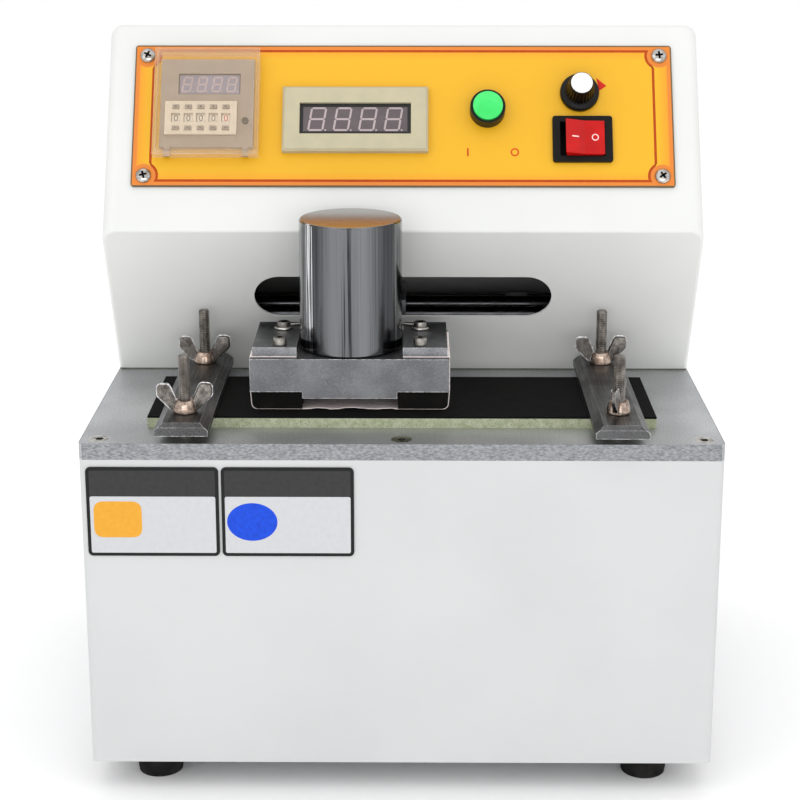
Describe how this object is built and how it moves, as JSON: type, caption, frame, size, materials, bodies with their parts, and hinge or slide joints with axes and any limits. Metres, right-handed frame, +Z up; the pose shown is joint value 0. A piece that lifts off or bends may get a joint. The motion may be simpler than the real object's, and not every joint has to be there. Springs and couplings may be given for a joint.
{
  "type": "abrasion resistance tester",
  "caption": "Bench rub tester: a weighted block with rubber pads slides over a clamped specimen bed, driven from a sloping instrument head on a cabinet base.",
  "frame": {"origin": "centre of the bounding box's bottom face, on the surface that the feet stand on", "axes": "+X to the operator's right, +Y from the operator towards the back, +Z up"},
  "size_m": [0.32, 0.263, 0.3799],
  "materials": {
    "cover_paint": "fine near-white powder coat",
    "rear_paint": "fine near-white powder coat",
    "bottom_steel": "plain zinc-plated sheet",
    "table_aluminium": "fine blasted and brushed grey",
    "screw_steel": "bright plated",
    "dark_screw": "blackened",
    "foot_rubber": "matt black",
    "panel_yellow": "satin yellow with an orange margin",
    "label_face": "pale field in a black rim, with a dark band and two plain patches",
    "platen_glass": "clear with a pale green edge",
    "mat_rubber": "matt black",
    "stud_steel": "threaded, bright",
    "bar_steel": "dark satin with lengthwise grain",
    "nut_steel": "plated with worn warm edges",
    "block_steel": "satin machined",
    "weight_steel": "polished with faint vertical lines",
    "pad_rubber": "matt black",
    "strip_board": "pale receptor paper",
    "rod_steel": "ground and polished",
    "machine_aluminium": "machined",
    "machine_steel": "machined",
    "bushing_bronze": "sintered bronze",
    "motor_paint": "satin black",
    "gearbox_metal": "cast and machined",
    "board_green": "green board with black parts",
    "dark_plastic": "matt black",
    "counter_grey": "grey-beige",
    "clear_cover": "clear, faintly yellow",
    "key_white": "white",
    "wheel_white": "ivory rim with plain dark numerals",
    "tacho_beige": "beige bezel round a dark window",
    "button_green": "translucent green",
    "knob_black": "black with a pale cap and pointer",
    "rocker_red": "red with plain pale marks",
    "switch_black": "black"
  },
  "bodies": {
    "cabinet": {"base_cover": "cover_paint", "bottom_plate": "bottom_steel", "base_rear_panel": "rear_paint", "head_cover": "cover_paint", "head_rear_panel": "rear_paint", "table_plate": "table_aluminium", "table_screws": "screw_steel", "case_screws": "screw_steel", "feet": "foot_rubber", "panel_plate": "panel_yellow", "panel_screws": "screw_steel", "label_plates": "label_face", "glass_platen": "platen_glass", "rub_mat": "mat_rubber", "clamp_studs": "stud_steel", "gearbox": "gearbox_metal", "drive_motor": "motor_paint", "motor_screws": "screw_steel", "guide_rods": "rod_steel", "rod_supports": "machine_aluminium", "stroke_sensor": "dark_plastic", "control_board": "board_green", "power_inlet": "dark_plastic", "counter_body": "counter_grey", "tachometer": "tacho_beige", "button_bezel": "switch_black", "switch_bezel": "switch_black", "speed_control": "machine_aluminium"},
    "slider": {"carriage": "machine_aluminium", "carriage_bushings": "bushing_bronze", "wrist_pin": "screw_steel", "drive_arm": "machine_steel", "arm_screws": "dark_screw"},
    "crank": {"crank_disc": "machine_steel", "motor_shaft": "machine_steel"},
    "rod": {"connecting_rod": "machine_steel", "crank_pin": "screw_steel"},
    "block": {"friction_block": "block_steel", "friction_pads": "pad_rubber", "receptor_strip": "strip_board", "strip_clamps": "block_steel", "clamp_screws": "screw_steel", "drive_bracket": "block_steel", "drive_pin": "screw_steel", "weight_bail": "screw_steel"},
    "weight": {"load_weight": "weight_steel"},
    "left_clamp": {"clamp_bar_left": "bar_steel"},
    "right_clamp": {"clamp_bar_right": "bar_steel"},
    "left_front_nut": {"wing_nut_left_front": "nut_steel"},
    "left_rear_nut": {"wing_nut_left_rear": "nut_steel"},
    "right_front_nut": {"wing_nut_right_front": "nut_steel"},
    "right_rear_nut": {"wing_nut_right_rear": "nut_steel"},
    "button": {"start_button": "button_green"},
    "knob": {"speed_knob": "knob_black"},
    "rocker": {"power_rocker": "rocker_red"},
    "cover": {"counter_cover": "clear_cover"},
    "reset": {"counter_reset": "key_white"},
    "plus_keys": {"counter_plus_keys": "key_white"},
    "minus_keys": {"counter_minus_keys": "key_white"},
    "wheels": {"counter_wheels": "wheel_white"}
  },
  "joints": [
    {"name": "carriage_slide", "type": "slide", "parent": "cabinet", "child": "slider", "axis": [1, 0, 0], "range_m": [-0.0034, 0.0566]},
    {"name": "crank_turn", "type": "hinge", "parent": "cabinet", "child": "crank", "pos_m": [0.095, 0.0785, 0.195], "axis": [0, 0, 1], "range_deg": [-170, 10.4]},
    {"name": "rod_swing", "type": "hinge", "parent": "slider", "child": "rod", "pos_m": [-0.0416, 0.0785, 0.2048], "axis": [0, 0, 1], "range_deg": [-6.49, 9.34]},
    {"name": "block_lift", "type": "slide", "parent": "slider", "child": "block", "axis": [0, 0, 1], "range_m": [0, 0.006]},
    {"name": "weight_lift", "type": "slide", "parent": "block", "child": "weight", "axis": [0, 0, 1], "range_m": [0, 0.06]},
    {"name": "left_clamp_lift", "type": "slide", "parent": "cabinet", "child": "left_clamp", "axis": [0, 0, 1], "range_m": [0, 0.004]},
    {"name": "right_clamp_lift", "type": "slide", "parent": "cabinet", "child": "right_clamp", "axis": [0, 0, 1], "range_m": [0, 0.004]},
    {"name": "left_front_nut_turn", "type": "hinge", "parent": "left_clamp", "child": "left_front_nut", "pos_m": [-0.108, -0.1085, 0.2015], "axis": [0, 0, 1], "continuous": true},
    {"name": "left_rear_nut_turn", "type": "hinge", "parent": "left_clamp", "child": "left_rear_nut", "pos_m": [-0.108, -0.0175, 0.2015], "axis": [0, 0, 1], "continuous": true},
    {"name": "right_front_nut_turn", "type": "hinge", "parent": "right_clamp", "child": "right_front_nut", "pos_m": [0.108, -0.1085, 0.2015], "axis": [0, 0, 1], "continuous": true},
    {"name": "right_rear_nut_turn", "type": "hinge", "parent": "right_clamp", "child": "right_rear_nut", "pos_m": [0.108, -0.0175, 0.2015], "axis": [0, 0, 1], "continuous": true},
    {"name": "start_press", "type": "slide", "parent": "cabinet", "child": "button", "axis": [0, 0.8766, -0.4813], "range_m": [0, 0.0025], "stiffness_N_per_m": 600, "springref_m": -0.001},
    {"name": "knob_turn", "type": "hinge", "parent": "cabinet", "child": "knob", "pos_m": [0.0948, 0.00426, 0.34567], "axis": [0, -0.8766, 0.4813], "range_deg": [-115, 185]},
    {"name": "power_rock", "type": "hinge", "parent": "cabinet", "child": "rocker", "pos_m": [0.096, -0.00743, 0.32231], "axis": [0, -0.4813, -0.8766], "range_deg": [0, 20]},
    {"name": "cover_open", "type": "hinge", "parent": "cabinet", "child": "cover", "pos_m": [-0.105, -0.01451, 0.31627], "axis": [1, 0, 0], "range_deg": [0, 90]},
    {"name": "reset_press", "type": "slide", "parent": "cabinet", "child": "reset", "axis": [0, 0.8766, -0.4813], "range_m": [0, 0.0008], "stiffness_N_per_m": 500, "springref_m": -0.0005},
    {"name": "plus_keys_press", "type": "slide", "parent": "cabinet", "child": "plus_keys", "axis": [0, 0.8766, -0.4813], "range_m": [0, 0.0008], "stiffness_N_per_m": 500, "springref_m": -0.0005},
    {"name": "minus_keys_press", "type": "slide", "parent": "cabinet", "child": "minus_keys", "axis": [0, 0.8766, -0.4813], "range_m": [0, 0.0008], "stiffness_N_per_m": 500, "springref_m": -0.0005},
    {"name": "wheels_turn", "type": "hinge", "parent": "cabinet", "child": "wheels", "pos_m": [-0.108, -0.0008, 0.33042], "axis": [1, 0, 0], "continuous": true}
  ],
  "couplings": [
    {"joint": "crank_turn", "follows": "carriage_slide", "rad_per_m": -52.36}
  ]
}
